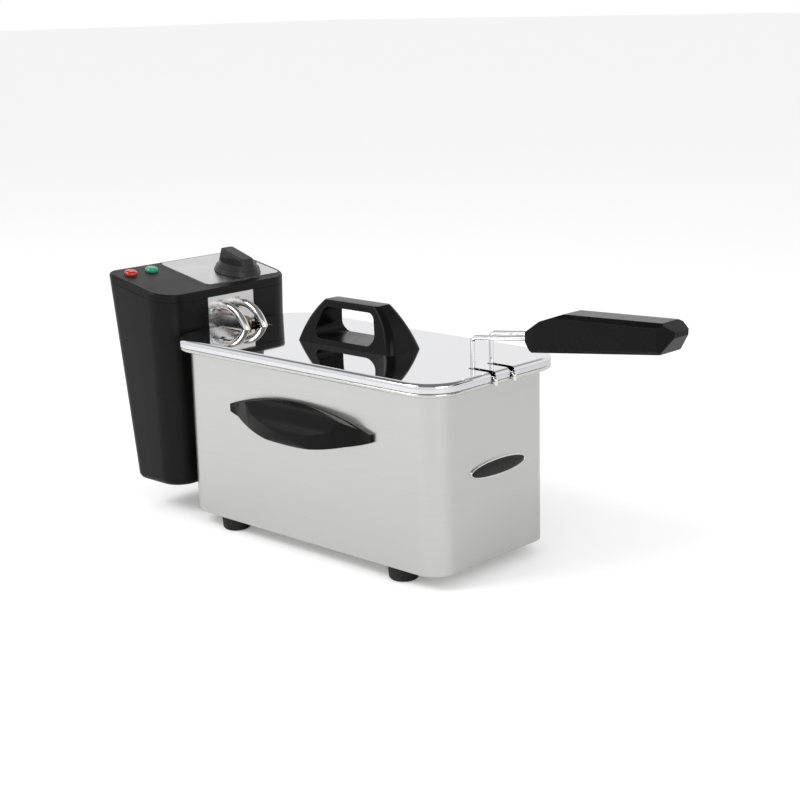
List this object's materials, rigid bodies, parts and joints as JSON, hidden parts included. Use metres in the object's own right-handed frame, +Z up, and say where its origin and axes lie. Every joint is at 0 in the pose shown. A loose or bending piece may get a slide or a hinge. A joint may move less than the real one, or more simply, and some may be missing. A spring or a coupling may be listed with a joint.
{
  "type": "deep fryer",
  "caption": "Compact countertop deep fryer with steel housing, lift-out pot, hang-on heating and control unit, wire basket with side grip, and mirror lid with a handle.",
  "frame": {"origin": "middle of the overall bounding box in X and Y, at the height of the table the feet stand on", "axes": "+X to the front, where the basket grip points; -X to the control unit; +Y to the fryer's left; +Z up"},
  "size_m": [0.5166, 0.16, 0.2087],
  "materials": {
    "satin_steel": "satin finish steel sheet",
    "steel_sheet": "plain steel sheet",
    "pot_steel": "satin inside, bright rolled rim",
    "lid_steel": "mirror polished steel",
    "bright_steel": "bright plated",
    "wire_chrome": "bright chromed wire",
    "element_steel": "polished sheath",
    "terminal_brass": "plain brass",
    "capillary_copper": "copper",
    "satin_black": "satin black moulded",
    "gloss_black": "gloss black with a pale border",
    "dark_plastic": "dark moulded",
    "foot_rubber": "matte black rubber",
    "red_plastic": "translucent red",
    "green_plastic": "translucent green",
    "lamp_glass": "clear glass",
    "wire_cover": "heat proof sleeve",
    "magnet": "coated magnet"
  },
  "bodies": {
    "housing": {"housing_shell": "satin_steel", "base_plate": "steel_sheet", "foot_front_left": "foot_rubber", "foot_front_right": "foot_rubber", "foot_rear_left": "foot_rubber", "foot_rear_right": "foot_rubber", "foot_screws": "bright_steel", "foot_nuts": "bright_steel", "side_handle_left": "satin_black", "side_handle_right": "satin_black", "side_handle_screws": "bright_steel", "badge_plate": "gloss_black", "badge_clips": "bright_steel", "rear_bracket": "steel_sheet", "bracket_rivets": "steel_sheet", "interlock_magnet": "magnet"},
    "pot": {"oil_pot": "pot_steel"},
    "heating_unit": {"control_front_shell": "satin_black", "control_rear_cover": "satin_black", "control_top_cover": "satin_black", "case_screws": "bright_steel", "dial_plate": "steel_sheet", "red_lens": "red_plastic", "green_lens": "green_plastic", "neon_lamps": "lamp_glass", "thermostat_body": "dark_plastic", "heating_element": "element_steel", "element_terminals": "terminal_brass", "element_plate": "steel_sheet", "element_plate_screws": "bright_steel", "element_straps": "steel_sheet", "thermostat_bulb": "element_steel", "bulb_clips": "steel_sheet", "capillary_tube": "capillary_copper", "terminal_block": "dark_plastic", "wiring_leads": "wire_cover", "thermal_cutout": "bright_steel", "reset_bezel": "dark_plastic", "reed_switch": "dark_plastic", "cord_gland": "dark_plastic"},
    "knob": {"thermostat_knob": "satin_black", "thermostat_spindle": "bright_steel"},
    "reset": {"reset_button": "red_plastic"},
    "basket": {"basket_mesh": "wire_chrome", "basket_frame": "wire_chrome", "basket_handle_wires": "wire_chrome", "basket_grip": "satin_black"},
    "lid": {"lid_panel": "lid_steel", "lid_handle": "satin_black", "lid_handle_screws": "bright_steel"}
  },
  "joints": [
    {"name": "pot_lift", "type": "slide", "parent": "housing", "child": "pot", "axis": [0, 0, 1], "range_m": [0, 0.15]},
    {"name": "heating_unit_lift", "type": "slide", "parent": "pot", "child": "heating_unit", "axis": [0, 0, 1], "range_m": [0, 0.15]},
    {"name": "basket_lift", "type": "slide", "parent": "heating_unit", "child": "basket", "axis": [0, 0, 1], "range_m": [0, 0.11]},
    {"name": "lid_lift", "type": "slide", "parent": "basket", "child": "lid", "axis": [0, 0, 1], "range_m": [0, 0.07]},
    {"name": "knob_turn", "type": "hinge", "parent": "heating_unit", "child": "knob", "pos_m": [-0.20903, 0.032, 0.18865], "axis": [-0.1908, 0, -0.9816], "range_deg": [0, 270]},
    {"name": "reset_press", "type": "slide", "parent": "heating_unit", "child": "reset", "axis": [1, 0, 0], "range_m": [0, 0.0025], "stiffness_N_per_m": 600, "springref_m": -0.001}
  ]
}
